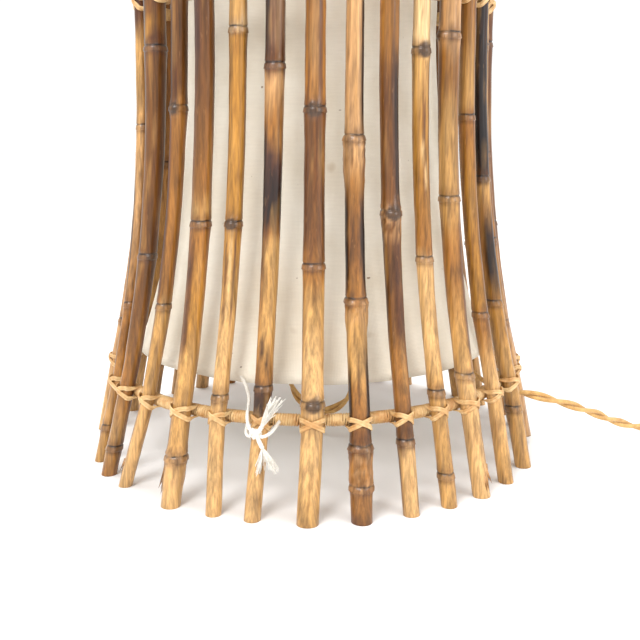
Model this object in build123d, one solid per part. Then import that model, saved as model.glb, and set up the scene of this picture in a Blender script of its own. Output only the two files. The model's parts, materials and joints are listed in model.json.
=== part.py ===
from build123d import *
import math
import os

# Waisted cane cage lamp, millimetres. +Z is up, the origin is on the floor at the middle of
# the foot circle, and the lamp's front faces -Y. An angle turns from the front towards +X.

# ---- driving sizes ----
HEIGHT = 574.0
WAIST_Z = HEIGHT / 2
HOOP_INSET = 53.0
HOOP_LEVELS = {"lower": HOOP_INSET, "middle": WAIST_Z, "upper": HEIGHT - HOOP_INSET}
WAIST_R = 105.5            # inner faces of the canes at the waist
FLARE = 27.0               # how much further out those faces are at the end hoops
FLARE_POWER = 2.3
END_SLOPE = 0.22           # outward lean of the free ends beyond the end hoops
HOOP_WIRE_R = 2.75
TOUCH = 0.08               # hairline between pieces that bear on each other

NODE_SWELL = 1.12
NODE_HALF = 5.0

WRAP_T = 0.55
LASH_W = 2.6
LASH_T = 0.8
LASH_TILT = 30.0
LASH_CLEAR = 0.15

SHADE_HEM_Z = 70.0
SHADE_HEM_R = 117.0
SHADE_WAIST_R = 79.0
CLOTH_T = 0.8
RING_WIRE_R = 1.5
UPRIGHT_R = 1.2
UPRIGHTS = 6

HOLDER_SHOULDER_Z = WAIST_Z + 3.0
HOLDER_R = 19.0
HOLDER_NECK_R = 17.0
HOLDER_LOW_Z = HOLDER_SHOULDER_Z - 47.0
HOLDER_TOP_Z = HOLDER_SHOULDER_Z + 22.0
SOCKET_R = 13.6
SOCKET_FLOOR_Z = HOLDER_SHOULDER_Z - 15.0
GRIP_LEN = 20.0
GRIP_LOW_Z = HOLDER_LOW_Z - GRIP_LEN
SPIDER_T = 2.0
BULB_CAP_R = 13.1
BULB_CAP_LEN = 27.0
BULB_R = 30.0
BULB_NECK_R = 12.6
BULB_BASE_Z = SOCKET_FLOOR_Z + 2.0 + BULB_CAP_LEN
BULB_CENTRE_Z = BULB_BASE_Z + 48.0

STRING_R = 1.0

FLEX_D = 6.0
FLEX_R = FLEX_D / 2
FLOOR_Z = FLEX_R + 0.1     # centre height of the flex where it lies on the floor
COIL_CENTRE = Vector(306, 55, 0)
COIL_R = 35.0
COIL_SIDE = 3 * FLEX_D     # three turns wide and three high
COIL_LIFT = 0.9            # the string that ties the coil passes under it

KEY_Z = HOLDER_LOW_Z + 16.0
KEY_R = 2.5
KEY_REACH = 12.0           # how far the key stands out of the holder

PLUG_FACE = Vector(357, 104, 8)
PLUG_TURN = 8.0            # degrees the plug points left of straight back
PLUG_LEN = 34.0
PLUG_WIDE = 35.0
PLUG_HIGH = 13.7
PIN_R = 2.0
PIN_LEN = 19.0
PIN_SPACING = 18.6

# Each cane: angle at the foot, the lower hoop, the waist and the upper hoop; the diameter at
# the foot, at the waist and at the top; how far the foot stays off the floor; how far the top
# stands over HEIGHT; and the heights of the nodes.
CANES = [
    (-69, -66, -76, -70, 7.7, 7.4, 7.0, 0, 2, (24, 103, 213, 330, 436)),
    (-59, -57, -54, -54, 9.6, 13.0, 12.0, 0, -3, (18, 137, 258, 368, 474)),
    (-50, -46, -42, -43, 8.4, 10.0, 9.4, 0, 0, (110, 224, 345, 462)),
    (-33, -33, -32, -33, 11.4, 11.0, 10.0, 0, 4, (28, 160, 315, 440)),
    (-22, -23, -21, -22, 9.0, 9.8, 8.8, 0, -2, (65, 161, 265, 372, 478)),
    (-13, -12, -10, -11, 9.4, 10.9, 10.2, 0, 1, (72, 246, 352, 461)),
    (-1, 0, 1, 0, 12.4, 10.9, 10.0, 0, -4, (65, 139, 223, 318, 421)),
    (10.5, 11, 12, 11, 11.8, 9.6, 9.0, 0, 3, (19, 41, 120, 208, 312, 418)),
    (22, 22, 22, 22, 9.5, 10.8, 11.4, 0, -1, (41, 167, 304, 446)),
    (32, 32, 33, 33, 9.2, 9.5, 8.6, 0, 2, (18, 65, 140, 255, 352, 449)),
    (42, 42, 44, 44, 10.7, 12.1, 11.2, 0, -3, (71, 173, 264, 360, 458)),
    (53, 54, 55, 55, 9.4, 9.3, 9.0, 0, 0, (102, 219, 338, 455)),
    (65, 66, 67, 66, 10.3, 8.4, 8.0, 0, 4, (38, 105, 182, 296, 408)),
    (84, 79, 78, 78, 8.4, 6.4, 6.0, 5, -2, (87, 141, 196, 262, 340, 425)),
    (89, 89, 89, 89, 10.2, 10.6, 9.8, 0, 1, (31, 150, 265, 377)),
    (98, 98, 98, 98, 9.0, 9.4, 8.7, 1, -4, (88, 190, 300, 412)),
    (108, 108, 108, 108, 11.3, 10.8, 10.1, 0, 3, (40, 131, 238, 350, 462)),
    (118, 118, 118, 118, 8.6, 9.2, 8.8, 0, 0, (75, 205, 333, 452)),
    (128, 128, 128, 128, 10.8, 11.4, 10.6, 0, -2, (26, 112, 228, 345, 466)),
    (138, 138, 138, 138, 9.3, 9.0, 8.2, 2, 2, (92, 176, 262, 366, 470)),
    (148, 148, 148, 148, 10.0, 10.4, 9.9, 0, -3, (36, 158, 312, 440)),
    (158, 158, 158, 158, 11.6, 11.8, 10.9, 0, 1, (69, 184, 301, 423)),
    (168, 168, 168, 168, 8.8, 8.6, 8.0, 0, 4, (84, 170, 256, 346, 438)),
    (178, 178, 178, 178, 10.4, 10.9, 10.3, 0, -1, (30, 145, 264, 381)),
    (188, 188, 188, 188, 9.6, 10.0, 9.2, 1, 2, (97, 215, 326, 443)),
    (198, 198, 198, 198, 11.0, 11.3, 10.7, 0, -3, (38, 128, 240, 354, 470)),
    (208, 208, 208, 208, 9.1, 8.8, 8.4, 0, 0, (78, 199, 318, 434)),
    (218, 218, 218, 218, 10.6, 10.2, 9.5, 0, 3, (26, 118, 231, 349, 465)),
    (228, 228, 228, 228, 8.9, 9.5, 9.0, 0, -2, (90, 175, 262, 371)),
    (238, 238, 238, 238, 10.1, 10.7, 10.0, 0, 1, (34, 152, 300, 416)),
    (248, 248, 248, 248, 9.8, 9.4, 8.9, 0, -4, (70, 187, 305, 426)),
    (258, 258, 258, 258, 11.2, 11.5, 10.8, 0, 2, (29, 124, 242, 358, 472)),
    (268, 268, 268, 268, 9.0, 8.9, 8.3, 2, 0, (82, 193, 314, 431)),
]
TIED_CANE = 5              # the cane that carries the front tie, counted from 0
FLEX_TIE_ANGLE = 72.1      # the flex leaves between two canes here, tied to the hoop
HEM_TIE_ANGLES = (103, 193)
TOP_TIE_ANGLES = (-16.5, 103, 223)

# Route of the flex outside its coil, from the cord grip to the coil.
FLEX_ROUTE = [
    (0, 0, GRIP_LOW_Z),
    (0, 0, 186),
    (1, 0, 158),
    (-1, -1, 130),
    (3, -3, 104),
    (13, -5, 85),
    (26, -6, 67),
    (32, -6, 46),
    (26, -5, 26),
    (8, -2, 15),
    (-11, 3, 24),
    (-18, 7, 44),
    (-13, 11, 65),
    (2, 13, 81),
    (23, 12, 88),
    (45, 5, 85),
    (65, -6, 76),
    (83, -18, 66),
    (101, -29, 55),
    (120, -39, 45.6),
    (142, -44, 42.5),
    (164, -41, 36),
    (187, -30, 26),
    (209, -15, 14),
    (230, -3, 5.6),
    (251, 4, FLOOR_Z),
    (270, 9, FLOOR_Z),
    (288, COIL_CENTRE.Y - COIL_R - FLEX_D, FLOOR_Z),
]

# Route of the flex from the top of its coil to the plug.
TAIL_ROUTE = [
    (COIL_CENTRE.X + COIL_R + FLEX_D, COIL_CENTRE.Y - 4, 13),
    (COIL_CENTRE.X + COIL_R + FLEX_D + 1.5, COIL_CENTRE.Y + 12, 10),
    (351, 84, 8.4),
    (PLUG_FACE.X, PLUG_FACE.Y, PLUG_FACE.Z),
]

os.makedirs("parts", exist_ok=True)


def save(name, *solids):
    shape = solids[0] if len(solids) == 1 else Compound(children=list(solids))
    shape.label = name
    export_step(shape, f"parts/{name}.step")


def single(shape):
    return shape.solids()[0]


def polar(radius, degrees, z):
    a = math.radians(degrees)
    return Vector(radius * math.sin(a), -radius * math.cos(a), z)


# ---- the cage ----
def inner_face_r(z):
    """Radius of the cylinder-like surface that the canes bear on."""
    reach = WAIST_Z - HOOP_INSET
    away = abs(z - WAIST_Z)
    r = WAIST_R + FLARE * (min(away, reach) / reach) ** FLARE_POWER
    return r + END_SLOPE * max(0.0, away - reach)


def between(z, low, middle, high):
    """A value given at the lower hoop, the waist and the upper hoop."""
    if z < WAIST_Z:
        t = max(0.0, (z - HOOP_INSET) / (WAIST_Z - HOOP_INSET))
        return low + (middle - low) * t
    t = min(1.0, (z - WAIST_Z) / (WAIST_Z - HOOP_INSET))
    return middle + (high - middle) * t


def cane_radius(cane, z):
    foot_d, waist_d, top_d = cane[4:7]
    return between(z, foot_d, waist_d, top_d) / 2


def cane_angle(cane, z):
    foot, low = cane[0:2]
    under_hoop = max(0.0, HOOP_INSET - z) / HOOP_INSET
    return between(z, *cane[1:4]) + (foot - low) * under_hoop


def cane_centre(cane, z):
    return polar(inner_face_r(z) + cane_radius(cane, z) + TOUCH, cane_angle(cane, z), z)


def cane_sections(cane):
    """Heights and radii of the cane's rings, with a swelling at each node."""
    foot, top, nodes = cane[7], HEIGHT + cane[8], cane[9]
    plain = [foot, top] + list(HOOP_LEVELS.values())
    edges = [foot] + list(nodes) + [top]
    plain += [(a + b) / 2 for a, b in zip(edges, edges[1:]) if b - a > 60]
    sections = {}
    for z in plain:
        if all(abs(z - node) > 2 * NODE_HALF for node in nodes):
            sections[z] = cane_radius(cane, z)
    for node in nodes:
        sections[node - NODE_HALF] = cane_radius(cane, node)
        sections[node] = cane_radius(cane, node) * NODE_SWELL
        sections[node + NODE_HALF] = cane_radius(cane, node)
    return sorted(sections.items())


def make_cane(cane):
    rings = []
    for z, radius in cane_sections(cane):
        rings.append(Wire([Edge.make_circle(radius, Plane(origin=cane_centre(cane, z)))]))
    return Solid.make_loft(rings, ruled=True)


def hoop_radius(level):
    return inner_face_r(HOOP_LEVELS[level]) - HOOP_WIRE_R


def make_ring(radius, wire_r, z):
    return Solid.make_torus(radius, wire_r, Plane(origin=(0, 0, z)))


def make_loop(frame, length, half_width, corner, thickness, width):
    """A flat strip bent into a closed rounded loop; the frame's X runs along its length."""
    outer = RectangleRounded(length + 2 * thickness, 2 * (half_width + thickness), corner + thickness)
    loop = outer - RectangleRounded(length, 2 * half_width, corner)
    return frame * Pos(0, 0, -width / 2) * extrude(loop, width)


def lash_half_width(radius):
    tilt = math.radians(LASH_TILT)
    round_cane = radius / math.cos(tilt) + LASH_W / 2 * math.tan(tilt)
    round_hoop = HOOP_WIRE_R / math.sin(tilt) + LASH_W / 2 / math.tan(tilt)
    return max(round_cane, round_hoop) + LASH_CLEAR


def widest_near(cane, z):
    near = any(abs(z - node) < 3 * NODE_HALF for node in cane[9])
    return cane_radius(cane, z) * (NODE_SWELL if near else 1.0)


def make_lash(cane, level):
    """Two crossed strips round a cane and the hoop behind it."""
    z = HOOP_LEVELS[level]
    radius = widest_near(cane, z)
    centre_r = inner_face_r(z) + cane_radius(cane, z)
    back = hoop_radius(level) - HOOP_WIRE_R - LASH_CLEAR
    front = centre_r + radius + LASH_CLEAR + LASH_W * END_SLOPE / 2
    angle = cane_angle(cane, z)
    outward = polar(1, angle, 0)
    along = polar(1, angle + 90, 0)
    strips = []
    for side in (1, -1):
        tilt = math.radians(LASH_TILT * side)
        normal = Vector(0, 0, 1) * math.cos(tilt) - along * math.sin(tilt)
        frame = Plane(origin=outward * ((front + back) / 2) + Vector(0, 0, z), x_dir=outward,
                      z_dir=normal)
        strips.append(make_loop(frame, front - back, lash_half_width(radius), 3.0, LASH_T, LASH_W))
    return single(strips[0] + strips[1])


def make_wrap(level, start, end):
    """The part of the hoop's winding between two lashings, as a sleeve."""
    radius = hoop_radius(level)
    inner = HOOP_WIRE_R + TOUCH
    section = Plane.XZ * Pos(radius, HOOP_LEVELS[level]) * (Circle(inner + WRAP_T) - Circle(inner))
    sleeve = revolve(section, Axis.Z, end - start)
    return single(Rot(0, 0, start - 90) * sleeve)


def make_binding(level):
    z = HOOP_LEVELS[level]
    pieces = [make_lash(cane, level) for cane in CANES]
    spans = []
    for cane in CANES:
        half = lash_half_width(widest_near(cane, z)) * math.cos(math.radians(LASH_TILT))
        angle = cane_angle(cane, z)
        spread = math.degrees((half + LASH_T + LASH_W / 2) / hoop_radius(level))
        spans.append((angle - spread, angle + spread))
    for here, there in zip(spans, spans[1:] + [(spans[0][0] + 360, 0)]):
        if there[0] - here[1] > 0.6:
            pieces.append(make_wrap(level, here[1], there[0]))
    return pieces


# ---- the shade ----
def shade_arc(shift):
    """The shade's side line, moved outwards by shift, as seen in the XZ plane."""
    low = (SHADE_HEM_R + shift, SHADE_HEM_Z)
    high = (SHADE_HEM_R + shift, HEIGHT - SHADE_HEM_Z)
    return Plane.XZ * ThreePointArc(low, (SHADE_WAIST_R + shift, WAIST_Z), high)


def make_cloth():
    """The cloth in two pieces that meet in a seam round the waist."""
    inside = shade_arc(0)
    outside = shade_arc(CLOTH_T)
    ends = [Line(inside @ 0, outside @ 0), Line(inside @ 1, outside @ 1)]
    section = make_face([inside, outside] + ends)
    cloth = revolve(section, Axis.Z, 360)
    seam = Pos(0, 0, WAIST_Z) * Cylinder(SHADE_HEM_R, TOUCH)
    return (cloth - seam).solids()


def shade_radius(z):
    sag = SHADE_HEM_R - SHADE_WAIST_R
    half = WAIST_Z - SHADE_HEM_Z
    bend = (half * half + sag * sag) / (2 * sag)
    return SHADE_WAIST_R + bend - math.sqrt(bend * bend - (z - WAIST_Z) ** 2)


def make_upright(index):
    inset = 2 * RING_WIRE_R + UPRIGHT_R + 0.6
    path = shade_arc(-inset)
    start = path @ 0
    section = Plane(origin=start, z_dir=path % 0) * Circle(UPRIGHT_R)
    return single(Rot(0, 0, index * 360 / UPRIGHTS) * sweep(section, path))


def make_shade_ring(z):
    return make_ring(shade_radius(z) - RING_WIRE_R - 0.4, RING_WIRE_R, z)


# ---- the lampholder and bulb ----
def make_spider():
    """A washer under the holder's ring with three arms out to the shade's middle ring."""
    washer = Cylinder(24, SPIDER_T) - Cylinder(HOLDER_NECK_R + 0.1, SPIDER_T)
    reach = shade_radius(WAIST_Z) - 2 * RING_WIRE_R - 0.5
    arm = Rot(0, 90, 0) * Cylinder(1.25, reach - 21, align=(Align.CENTER, Align.CENTER, Align.MIN))
    arm = Pos(21, 0, 0) * arm
    arms = [Rot(0, 0, 30 + 120 * i) * arm for i in range(3)]
    level = HOLDER_SHOULDER_Z + SPIDER_T / 2 + 0.02
    return single(Pos(0, 0, level) * (washer + arms))


def turned(points):
    """A solid turned from a closed outline of (radius, height) points."""
    return single(revolve(Plane.XZ * make_face(Polyline(*points, close=True)), Axis.Z, 360))


def make_holder_body():
    body = turned([
        (3.3, HOLDER_LOW_Z), (HOLDER_R - 1, HOLDER_LOW_Z), (HOLDER_R, HOLDER_LOW_Z + 1),
        (HOLDER_R, HOLDER_SHOULDER_Z), (HOLDER_NECK_R, HOLDER_SHOULDER_Z),
        (HOLDER_NECK_R, HOLDER_TOP_Z), (SOCKET_R, HOLDER_TOP_Z), (SOCKET_R, SOCKET_FLOOR_Z),
        (3.3, SOCKET_FLOOR_Z)])
    bore = Pos(0, -HOLDER_R, KEY_Z) * Rot(90, 0, 0) * Cylinder(KEY_R + 0.08, 20)
    return single(body - bore)


def make_holder_key():
    """The turn key of the holder's switch: a shaft and a flat grip, on an axis along -Y."""
    inner = HOLDER_R - 9.5
    outer = HOLDER_R + KEY_REACH
    shaft = Rot(90, 0, 0) * Cylinder(KEY_R, outer - inner - 6)
    grip = Box(13, 9, 3)
    grip = fillet(grip.edges().filter_by(Axis.Z), 2.5)
    middle = (inner + outer - 6) / 2
    return single(Pos(0, -middle, KEY_Z) * shaft + Pos(0, -outer + 4.5, KEY_Z) * grip)


def make_holder_ring():
    low = HOLDER_SHOULDER_Z + SPIDER_T + 0.3
    inner = HOLDER_NECK_R + 0.05
    return turned([
        (inner, low), (26, low), (26, low + 2), (21, low + 3), (21, low + 9), (20, low + 10),
        (inner, low + 10)])


def make_cord_grip():
    low = GRIP_LOW_Z
    return turned([
        (FLEX_R + 0.15, low + 0.5), (FLEX_R + 2.4, low), (FLEX_R + 3, low + 4), (11, low + 12),
        (HOLDER_R - 2, HOLDER_LOW_Z - TOUCH), (FLEX_R + 0.15, HOLDER_LOW_Z - TOUCH)])


def make_bulb_cap():
    low = BULB_BASE_Z - BULB_CAP_LEN
    return turned([
        (0, low), (5, low), (6, low + 2), (11, low + 4), (BULB_CAP_R, low + 6),
        (BULB_CAP_R, BULB_BASE_Z), (0, BULB_BASE_Z)])


def make_bulb_glass():
    low = BULB_BASE_Z + TOUCH
    neck = Vector(BULB_NECK_R, low + 8)
    reach = BULB_CENTRE_Z - neck.Y
    lean = math.atan2(reach, BULB_NECK_R) - math.acos(BULB_R / math.hypot(reach, BULB_NECK_R))
    touch = Vector(BULB_R * math.cos(lean), BULB_CENTRE_Z - BULB_R * math.sin(lean))
    side = Vector(BULB_R, BULB_CENTRE_Z)
    top = Vector(0, BULB_CENTRE_Z + BULB_R)
    halfway = Vector(BULB_R * math.sin(math.pi / 4), BULB_CENTRE_Z + BULB_R * math.sin(math.pi / 4))
    low_mid = Vector(BULB_R * math.cos(lean / 2), BULB_CENTRE_Z - BULB_R * math.sin(lean / 2))
    outline = [
        Polyline((0, low), (BULB_NECK_R, low), (neck.X, neck.Y), (touch.X, touch.Y)),
        ThreePointArc((touch.X, touch.Y), (low_mid.X, low_mid.Y), (side.X, side.Y)),
        ThreePointArc((side.X, side.Y), (halfway.X, halfway.Y), (top.X, top.Y)),
        Line((top.X, top.Y), (0, low))]
    return single(revolve(Plane.XZ * make_face(outline), Axis.Z, 360))


# ---- string ties ----
def rod_chain(points, radius):
    """Straight rods from point to point with a ball at every joint."""
    ball = radius * 1.15
    body = Pos(*points[0]) * Sphere(ball)
    for a, b in zip(points, points[1:]):
        run = b - a
        rod = Solid.make_cylinder(radius, run.length, Plane(origin=a, z_dir=run))
        body = body + rod + Pos(*b) * Sphere(ball)
    return body


def cage_point(angle, radius, sideways, z):
    return polar(radius, angle, z) + polar(sideways, angle + 90, 0)


def make_front_tie():
    cane = CANES[TIED_CANE]
    z = HOOP_LEVELS["lower"]
    angle = cane_angle(cane, z)
    front = inner_face_r(z) + 2 * widest_near(cane, z) + 3.9
    hole = shade_radius(SHADE_HEM_Z + 5) + CLOTH_T + STRING_R + 0.2
    beside = 11.5
    down = [
        cage_point(angle, hole, -9, SHADE_HEM_Z + 5), cage_point(angle, 127, -beside, 66),
        cage_point(angle, 138, -beside, 57), cage_point(angle, front, -6, 49),
        cage_point(angle, front + 1, 0, 44)]
    knot_at = down[-1] + polar(1.2, angle, 0)
    knot = Pos(*knot_at) * Sphere(3.4)
    upper = [knot_at, cage_point(angle, front + 4, 5, 54), cage_point(angle, front + 4, 9, 63)]
    lower = [knot_at, cage_point(angle, front + 3.4, 3, 33), cage_point(angle, front + 5, 6, 23)]
    body = knot + rod_chain(down, STRING_R) + rod_chain(upper, 2.2) + rod_chain(lower, 1.6)
    return single(body)


def make_hem_tie(angle, level):
    """A short string from the shade's edge to a knot on the hoop."""
    up = 1 if level == "lower" else -1
    hem_z = SHADE_HEM_Z + 3 if up == 1 else HEIGHT - SHADE_HEM_Z - 3
    knot_r = 2.2
    knot_z = HOOP_LEVELS[level] + up * (HOOP_WIRE_R + TOUCH + WRAP_T + knot_r + 0.05)
    start = polar(shade_radius(hem_z) + CLOTH_T + STRING_R + 0.3, angle, hem_z)
    knot_at = polar(hoop_radius(level), angle, knot_z)
    run = start - knot_at
    string = Solid.make_cylinder(STRING_R, run.length, Plane(origin=knot_at, z_dir=run))
    return single(Pos(*knot_at) * Sphere(knot_r) + string)


def make_flex_tie():
    """A string loop that hangs the flex under the lower hoop."""
    z = HOOP_LEVELS["lower"]
    top = z + HOOP_WIRE_R + WRAP_T + 0.3
    low = flex_height_at_hoop() - FLEX_R - 1.0
    middle = polar(hoop_radius("lower"), FLEX_TIE_ANGLE, (top + low) / 2)
    across = polar(1, FLEX_TIE_ANGLE + 45, 0)
    frame = Plane(origin=middle, x_dir=(0, 0, 1), z_dir=across)
    half = (HOOP_WIRE_R + WRAP_T) / math.sin(math.radians(45)) + 1.6
    return single(make_loop(frame, top - low, half, 1.5, 1.0, 1.6))


# ---- the flex ----
def flex_height_at_hoop():
    """Height of the flex's middle where it passes under the lower hoop."""
    target = hoop_radius("lower")
    for a, b in zip(FLEX_ROUTE, FLEX_ROUTE[1:]):
        ra, rb = math.hypot(a[0], a[1]), math.hypot(b[0], b[1])
        if ra <= target < rb:
            return a[2] + (b[2] - a[2]) * (target - ra) / (rb - ra)
    raise ValueError("the flex doesn't pass the hoop")


def flex_radii(points):
    radii = []
    for a, b, c in zip(points, points[1:], points[2:]):
        turn = math.radians((b - a).get_angle(c - b))
        shorter = min((b - a).length, (c - b).length)
        radii.append(0.45 * shorter / math.tan(turn / 2))
    return radii


def make_tube(route):
    """A round tube of straight runs joined by tangent arcs."""
    points = [Vector(*p) for p in route]
    radii = flex_radii(points)
    path = FilletPolyline(*points, radius=radii)
    section = Plane(origin=path @ 0, z_dir=path % 0) * Circle(FLEX_R)
    tube = single(sweep(section, path))
    ideal = math.pi * FLEX_R ** 2 * path.length
    print("radii", [round(r, 1) for r in radii])
    print("length", round(path.length, 1), "volume ratio", round(tube.volume / ideal, 4))
    return tube


def make_coil():
    middle = COIL_SIDE / 2 + COIL_LIFT
    section = Plane.XZ * Pos(COIL_R, middle) * RectangleRounded(COIL_SIDE, COIL_SIDE, FLEX_R)
    return single(Pos(*COIL_CENTRE) * revolve(section, Axis.Z, 360))


def make_coil_tie():
    """A string loop round all the turns of the coil."""
    middle = COIL_CENTRE + Vector(-COIL_R, 0, COIL_SIDE / 2 + COIL_LIFT)
    frame = Plane(origin=middle, x_dir=(1, 0, 0), z_dir=(0, 1, 0))
    clear = 0.15
    loop = make_loop(frame, COIL_SIDE + 8 * clear, COIL_SIDE / 2 + clear, FLEX_R - clear, 0.6, 2.4)
    return single(loop)


def plug_frame():
    return Pos(*PLUG_FACE) * Rot(0, 0, PLUG_TURN)


def make_plug_body():
    """A flat two-pin body that narrows towards the cord."""
    outline = Polyline(
        (-5, 0), (5, 0), (8, 8), (PLUG_WIDE / 2, 20), (PLUG_WIDE / 2, PLUG_LEN),
        (-PLUG_WIDE / 2, PLUG_LEN), (-PLUG_WIDE / 2, 20), (-8, 8), close=True)
    slab = extrude(make_face(outline), PLUG_HIGH / 2, both=True)
    slab = chamfer(slab.edges().group_by(Axis.Z)[-1] + slab.edges().group_by(Axis.Z)[0], 1.2)
    for side in (1, -1):
        slab -= Pos(side * PIN_SPACING / 2, PLUG_LEN, 0) * Rot(90, 0, 0) * Cylinder(PIN_R, 16)
    return single(plug_frame() * slab)


def make_plug_pins():
    """The pins, with the 8 mm of each that is held inside the body."""
    held = 8.0
    pins = []
    for side in (1, -1):
        pin = Rot(90, 0, 0) * Cylinder(PIN_R - 0.01, PIN_LEN + held - 0.1)
        reach = PLUG_LEN + (PIN_LEN - held) / 2
        pins.append(single(plug_frame() * Pos(side * PIN_SPACING / 2, reach, 0) * pin))
    return pins


def main():
    for number, cane in enumerate(CANES, 1):
        save(f"cane_{number:02d}", make_cane(cane))
    for level, z in HOOP_LEVELS.items():
        save(f"{level}_hoop", make_ring(hoop_radius(level), HOOP_WIRE_R, z))
        save(f"{level}_binding", *make_binding(level))
    save("shade_cloth", *make_cloth())
    save("shade_bottom_ring", make_shade_ring(SHADE_HEM_Z + RING_WIRE_R + 0.5))
    save("shade_middle_ring", make_shade_ring(WAIST_Z))
    save("shade_top_ring", make_shade_ring(HEIGHT - SHADE_HEM_Z - RING_WIRE_R - 0.5))
    save("shade_uprights", *[make_upright(i) for i in range(UPRIGHTS)])
    save("holder_spider", make_spider())
    save("holder_body", make_holder_body())
    save("holder_ring", make_holder_ring())
    save("holder_key", make_holder_key())
    save("cord_grip", make_cord_grip())
    save("bulb_cap", make_bulb_cap())
    save("bulb_glass", make_bulb_glass())
    save("front_tie", make_front_tie())
    save("rear_ties", make_flex_tie(), *[make_hem_tie(a, "lower") for a in HEM_TIE_ANGLES])
    save("top_ties", *[make_hem_tie(a, "upper") for a in TOP_TIE_ANGLES])
    save("flex", make_tube(FLEX_ROUTE), make_tube(TAIL_ROUTE))
    save("flex_coil", make_coil())
    save("coil_tie", make_coil_tie())
    save("plug_body", make_plug_body())
    save("plug_pins", *make_plug_pins())


main()
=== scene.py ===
import json
import math
import bpy
import numpy as np
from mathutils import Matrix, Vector, noise


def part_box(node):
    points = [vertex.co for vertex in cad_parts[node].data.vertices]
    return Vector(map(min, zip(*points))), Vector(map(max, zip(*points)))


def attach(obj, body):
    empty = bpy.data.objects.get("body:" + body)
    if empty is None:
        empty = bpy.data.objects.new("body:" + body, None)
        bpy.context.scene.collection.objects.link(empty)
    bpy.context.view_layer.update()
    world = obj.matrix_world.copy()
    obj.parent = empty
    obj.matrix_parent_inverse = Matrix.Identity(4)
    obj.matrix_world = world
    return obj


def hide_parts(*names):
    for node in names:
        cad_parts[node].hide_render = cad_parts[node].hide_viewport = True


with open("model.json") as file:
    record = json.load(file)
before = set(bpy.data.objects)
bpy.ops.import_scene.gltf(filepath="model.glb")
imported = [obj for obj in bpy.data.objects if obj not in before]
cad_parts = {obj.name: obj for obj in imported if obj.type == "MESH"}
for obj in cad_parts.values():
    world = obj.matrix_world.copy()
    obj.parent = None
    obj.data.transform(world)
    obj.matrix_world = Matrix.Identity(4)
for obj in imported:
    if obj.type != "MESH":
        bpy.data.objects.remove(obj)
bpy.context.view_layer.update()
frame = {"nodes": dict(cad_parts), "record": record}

# A waisted cane lamp: detailed canes, bindings, cloth, string and flex on the CAD frame.
# Lengths are in metres; an angle turns from the front, -Y, towards +X.

NODES = frame["nodes"]
MM = 0.001

# ---- colours, as sRGB ----
PALETTE = {
    "pale": (220, 184, 132),
    "straw": (208, 164, 106),
    "gold": (190, 144, 82),
    "mustard": (174, 122, 48),
    "tan": (194, 148, 98),
    "amber": (154, 102, 42),
    "brown": (108, 66, 26),
    "olive": (108, 66, 20),
    "umber": (84, 44, 18),
    "plum": (72, 42, 30),
    "grey": (116, 84, 60),
    "black": (26, 12, 8),
    "scar": (74, 52, 34),
}

# Colour of each front cane up its height: (millimetres, colour) from the foot. Cane 2's mustard stop at
# 268 and cane 4's gold stop at 163, just over its node, are painted highlights.
TINTS = {
    1: [(0, "gold"), (90, "amber"), (150, "tan"), (260, "gold"), (285, "umber"), (560, "umber")],
    # cane 2: the mustard stop at 268 is a painted highlight
    2: [(0, "amber"), (24, "gold"), (60, "amber"), (120, "olive"), (250, "olive"), (262, "umber"),
        (268, "mustard"), (284, "brown"), (560, "umber")],
    3: [(0, "straw"), (90, "gold"), (112, "gold"), (118, "amber"), (222, "amber"), (230, "olive"),
        (560, "brown")],
    # cane 4: the gold stop at 163, just over the node, is a painted highlight
    4: [(0, "straw"), (52, "gold"), (84, "gold"), (105, "mustard"), (156, "amber"), (163, "gold"),
        (180, "amber"), (236, "brown"), (262, "brown"), (560, "umber")],
    5: [(0, "straw"), (100, "straw"), (120, "gold"), (160, "mustard"), (262, "mustard"),
        (268, "pale"), (275, "gold"), (560, "brown")],
    6: [(0, "straw"), (52, "straw"), (62, "brown"), (74, "amber"), (110, "gold"), (146, "gold"),
        (162, "brown"), (172, "black"), (196, "plum"), (214, "amber"), (236, "tan"), (247, "umber"),
        (262, "grey"), (560, "umber")],
    7: [(0, "gold"), (40, "straw"), (92, "straw"), (116, "gold"), (136, "amber"), (150, "brown"),
        (224, "brown"), (230, "amber"), (560, "umber")],
    8: [(0, "brown"), (18, "amber"), (36, "amber"), (44, "brown"), (66, "amber"), (84, "gold"),
        (104, "gold"), (120, "amber"), (150, "brown"), (184, "amber"), (206, "tan"), (560, "gold")],
    9: [(0, "straw"), (38, "straw"), (46, "brown"), (80, "amber"), (112, "olive"), (166, "olive"),
        (176, "brown"), (240, "brown"), (262, "amber"), (560, "brown")],
    10: [(0, "gold"), (66, "gold"), (90, "straw"), (138, "straw"), (146, "amber"), (200, "mustard"),
         (250, "gold"), (262, "pale"), (560, "amber")],
    11: [(0, "straw"), (60, "straw"), (90, "gold"), (140, "amber"), (170, "gold"), (206, "gold"),
         (250, "amber"), (266, "tan"), (560, "brown")],
    12: [(0, "gold"), (60, "straw"), (98, "amber"), (110, "mustard"), (180, "mustard"),
         (216, "amber"), (226, "gold"), (285, "amber"), (560, "brown")],
    13: [(0, "gold"), (60, "gold"), (108, "mustard"), (150, "amber"), (178, "gold"), (186, "black"),
         (560, "umber")],
    14: [(0, "tan"), (80, "tan"), (180, "amber"), (262, "gold"), (560, "brown")],
}
# The back canes take one of these runs of colour in turn.
BACK_TINTS = [
    [(0, "gold"), (90, "amber"), (210, "brown"), (330, "umber"), (560, "brown")],
    [(0, "straw"), (120, "gold"), (240, "amber"), (400, "olive"), (560, "amber")],
    [(0, "amber"), (110, "brown"), (200, "mustard"), (380, "umber"), (560, "umber")],
    [(0, "straw"), (70, "tan"), (180, "amber"), (300, "brown"), (440, "plum"), (560, "brown")],
    [(0, "gold"), (140, "mustard"), (290, "olive"), (420, "brown"), (560, "amber")],
]
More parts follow.
